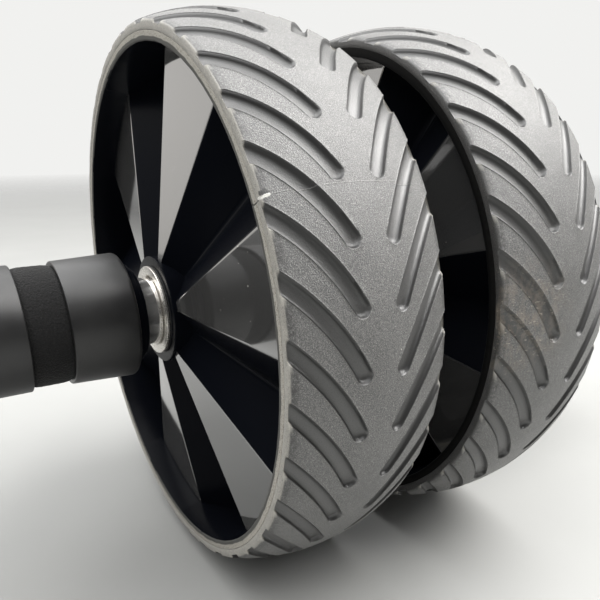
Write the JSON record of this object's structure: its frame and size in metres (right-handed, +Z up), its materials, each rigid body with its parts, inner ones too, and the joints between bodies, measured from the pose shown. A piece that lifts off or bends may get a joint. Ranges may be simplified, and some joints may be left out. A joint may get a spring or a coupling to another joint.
{
  "type": "ab wheel roller",
  "caption": "Abdominal exercise roller: treaded rubber wheels turn freely side by side on a chrome tube between foam-banded handles.",
  "frame": {"origin": "on the floor under the middle of the axle", "axes": "+X is a rolling direction, +Y runs along the axle to the right handle, +Z is up"},
  "size_m": [0.18, 0.369, 0.18],
  "materials": {
    "tread_rubber": "matte",
    "rim_plastic": "gloss",
    "axle_chrome": "polished",
    "washer_steel": "satin",
    "bush_plastic": "matte",
    "core_plastic": "satin",
    "grip_plastic": "satin",
    "grip_foam": "matte"
  },
  "bodies": {
    "axle_and_handles": {"axle_tube": "axle_chrome", "centre_spacer": "bush_plastic", "left_outer_washer": "washer_steel", "left_inner_washer": "washer_steel", "left_retaining_ring": "washer_steel", "left_handle_core": "core_plastic", "left_collar": "grip_plastic", "left_inner_foam_band": "grip_foam", "left_inner_grip_ring": "grip_plastic", "left_middle_foam_band": "grip_foam", "left_outer_grip_ring": "grip_plastic", "left_outer_foam_band": "grip_foam", "left_end_cap": "grip_plastic", "right_outer_washer": "washer_steel", "right_inner_washer": "washer_steel", "right_retaining_ring": "washer_steel", "right_handle_core": "core_plastic", "right_collar": "grip_plastic", "right_inner_foam_band": "grip_foam", "right_inner_grip_ring": "grip_plastic", "right_middle_foam_band": "grip_foam", "right_outer_grip_ring": "grip_plastic", "right_outer_foam_band": "grip_foam", "right_end_cap": "grip_plastic"},
    "left_wheel": {"left_tyre": "tread_rubber", "left_outer_rim": "rim_plastic", "left_inner_rim": "rim_plastic", "left_outer_bush": "bush_plastic", "left_inner_bush": "bush_plastic"},
    "right_wheel": {"right_tyre": "tread_rubber", "right_outer_rim": "rim_plastic", "right_inner_rim": "rim_plastic", "right_outer_bush": "bush_plastic", "right_inner_bush": "bush_plastic"}
  },
  "joints": [
    {"name": "left_wheel_spin", "type": "hinge", "parent": "axle_and_handles", "child": "left_wheel", "pos_m": [0, -0.035, 0.09], "axis": [0, 1, 0], "continuous": true},
    {"name": "right_wheel_spin", "type": "hinge", "parent": "axle_and_handles", "child": "right_wheel", "pos_m": [0, 0.035, 0.09], "axis": [0, 1, 0], "continuous": true}
  ]
}
